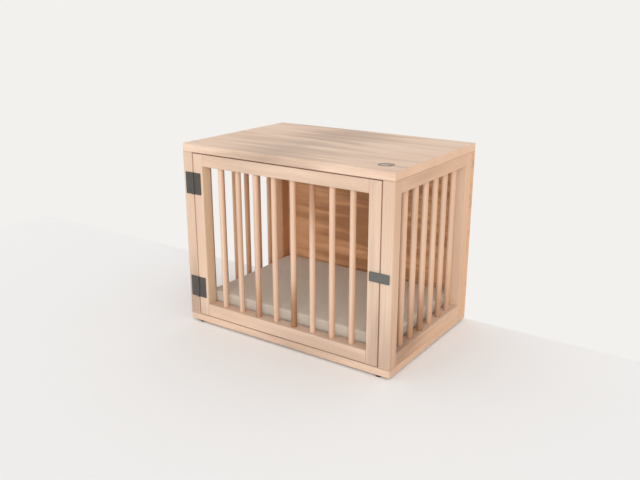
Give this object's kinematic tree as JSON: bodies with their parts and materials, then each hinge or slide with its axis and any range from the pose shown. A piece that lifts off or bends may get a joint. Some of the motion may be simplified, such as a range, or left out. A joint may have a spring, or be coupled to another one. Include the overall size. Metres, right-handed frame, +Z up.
{
  "type": "dog crate end table",
  "caption": "Timber kennel with round wooden bars, a hinged barred door with a turn latch, a loose floor pad and a flat table top with a cable grommet.",
  "frame": {"origin": "on the floor, under the centre of the table's bounding box", "axes": "+X to the right of someone facing the door (the long side), +Y from the door to the back, +Z up"},
  "size_m": [0.76, 0.5264, 0.602],
  "materials": {
    "oak_boards": "oiled satin oak, grain along the length",
    "oak_uprights": "oiled satin oak, upright grain",
    "oak_rails": "oiled satin oak, grain along the rails",
    "oak_bars": "turned and oiled oak",
    "black_steel": "fine-textured black powder coat",
    "grey_steel": "satin grey powder coat",
    "zinc_steel": "bright zinc plate",
    "magnet": "bright nickel plate",
    "black_nylon": "matte moulded nylon",
    "taupe_plastic": "matte moulded plastic, taupe",
    "tan_plastic": "matte moulded plastic, tan",
    "greige_fabric": "plain-woven greige upholstery fabric"
  },
  "bodies": {
    "carcass": {"top_board": "oak_boards", "base_board": "oak_boards", "back_board": "oak_boards", "front_post_left": "oak_uprights", "front_post_right": "oak_uprights", "rear_post_left": "oak_uprights", "rear_post_right": "oak_uprights", "side_top_rail_left": "oak_rails", "side_top_rail_right": "oak_rails", "side_bottom_rail_left": "oak_rails", "side_bottom_rail_right": "oak_rails", "side_bars_left": "oak_bars", "side_bars_right": "oak_bars", "top_pins": "oak_bars", "door_stop": "oak_rails", "hinge_post_leaf_lower": "black_steel", "hinge_post_leaf_upper": "black_steel", "hinge_pin_lower": "black_steel", "hinge_pin_upper": "black_steel", "hinge_post_screws": "black_steel", "latch_magnet": "magnet", "base_screws": "zinc_steel", "top_screws": "zinc_steel", "back_screws": "zinc_steel", "door_stop_screws": "zinc_steel", "foot_screws": "zinc_steel", "feet": "black_nylon", "grommet_sleeve": "taupe_plastic"},
    "door": {"door_hinge_stile": "oak_uprights", "door_latch_stile": "oak_uprights", "door_top_rail": "oak_rails", "door_bottom_rail": "oak_rails", "door_bars": "oak_bars", "hinge_door_leaf_lower": "black_steel", "hinge_door_leaf_upper": "black_steel", "hinge_door_screws": "black_steel", "latch_pivot_screw": "grey_steel", "latch_washer": "black_nylon"},
    "latch": {"latch_bar": "grey_steel"},
    "grommet_cap": {"grommet_cap": "tan_plastic"},
    "floor_pad": {"floor_pad": "greige_fabric"}
  },
  "joints": [
    {"name": "door_hinge", "type": "hinge", "parent": "carcass", "child": "door", "pos_m": [-0.3405, -0.26, 0.3025], "axis": [0, 0, -1], "range_deg": [0, 180]},
    {"name": "latch_turn", "type": "hinge", "parent": "door", "child": "latch", "pos_m": [0.32, -0.2568, 0.3025], "axis": [0, -1, 0], "range_deg": [0, 90]},
    {"name": "grommet_cap_turn", "type": "hinge", "parent": "carcass", "child": "grommet_cap", "pos_m": [0.313, -0.1878, 0.602], "axis": [0, 0, 1], "continuous": true},
    {"name": "floor_pad_lift", "type": "slide", "parent": "carcass", "child": "floor_pad", "axis": [0, 0, 1], "range_m": [0, 0.15]}
  ]
}
